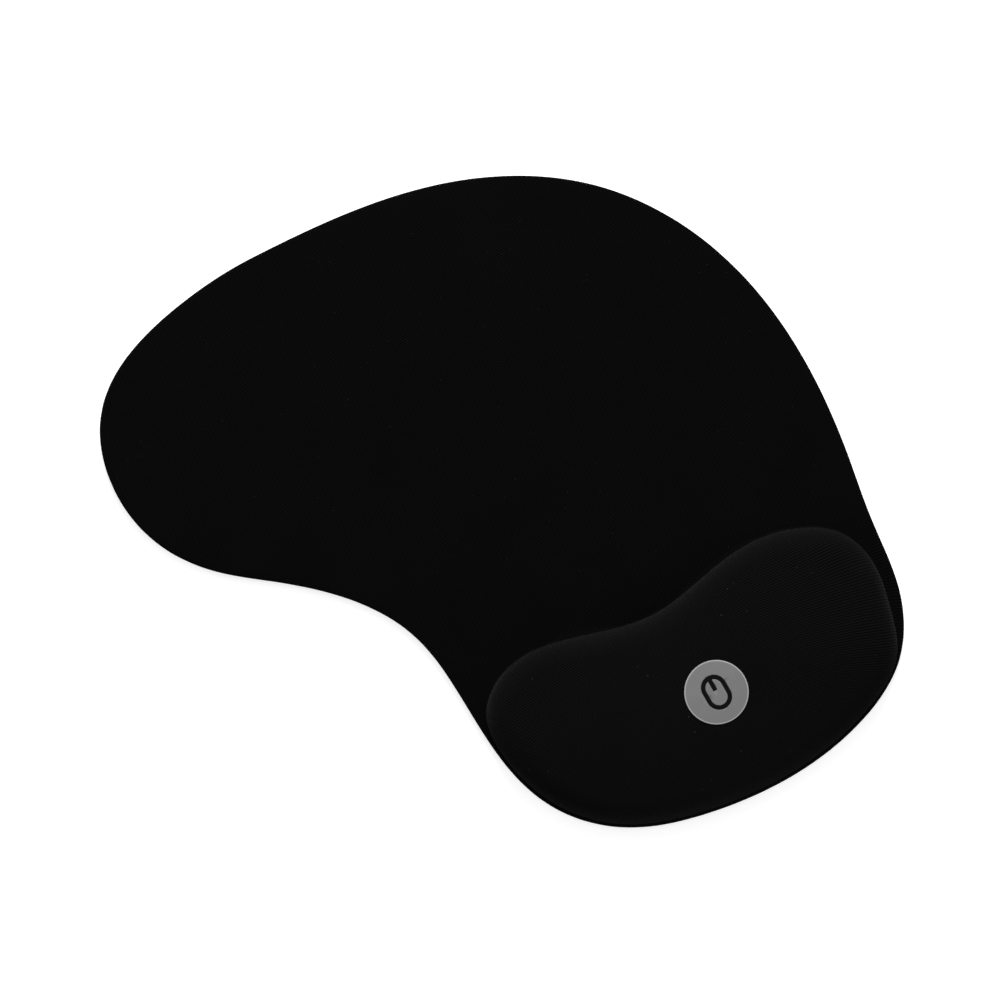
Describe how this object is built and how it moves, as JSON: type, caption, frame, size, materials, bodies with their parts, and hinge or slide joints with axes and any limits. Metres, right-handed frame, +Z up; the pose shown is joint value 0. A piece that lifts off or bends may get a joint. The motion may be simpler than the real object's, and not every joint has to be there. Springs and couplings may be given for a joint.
{
  "type": "mouse mat with gel wrist rest",
  "caption": "Comma-shaped mouse mat with a kidney-shaped gel wrist cushion at its front, under one black knit cover with a round grey badge.",
  "frame": {"origin": "at desk level, under the centre of the mat's bounding box", "axes": "+Z up from the desk, +Y away from the user towards the back of the mat, +X to the user's right, along the wrist cushion"},
  "size_m": [0.2214, 0.2402, 0.0203],
  "materials": {
    "grip_polyurethane": "moulded matt with shallow hexagonal dimples",
    "hot_melt_film": "smoky, cloudy adhesive film",
    "core_foam": "fine open-cell foam",
    "pouch_film": "clear glossy film",
    "soft_gel": "translucent soft gel",
    "black_knit": "matt fine-ribbed knit",
    "badge_print": "satin transfer print",
    "badge_ink": "matt ink"
  },
  "bodies": {
    "root": {"grip_sheet": "grip_polyurethane", "grip_glue_film": "hot_melt_film", "foam_core": "core_foam", "pouch_glue_film": "hot_melt_film", "pouch_lower_film": "pouch_film", "gel_core": "soft_gel", "pouch_upper_film": "pouch_film", "cover_glue_film": "hot_melt_film", "knit_cover": "black_knit", "badge_disc": "badge_print", "badge_mark": "badge_ink"}
  },
  "joints": []
}
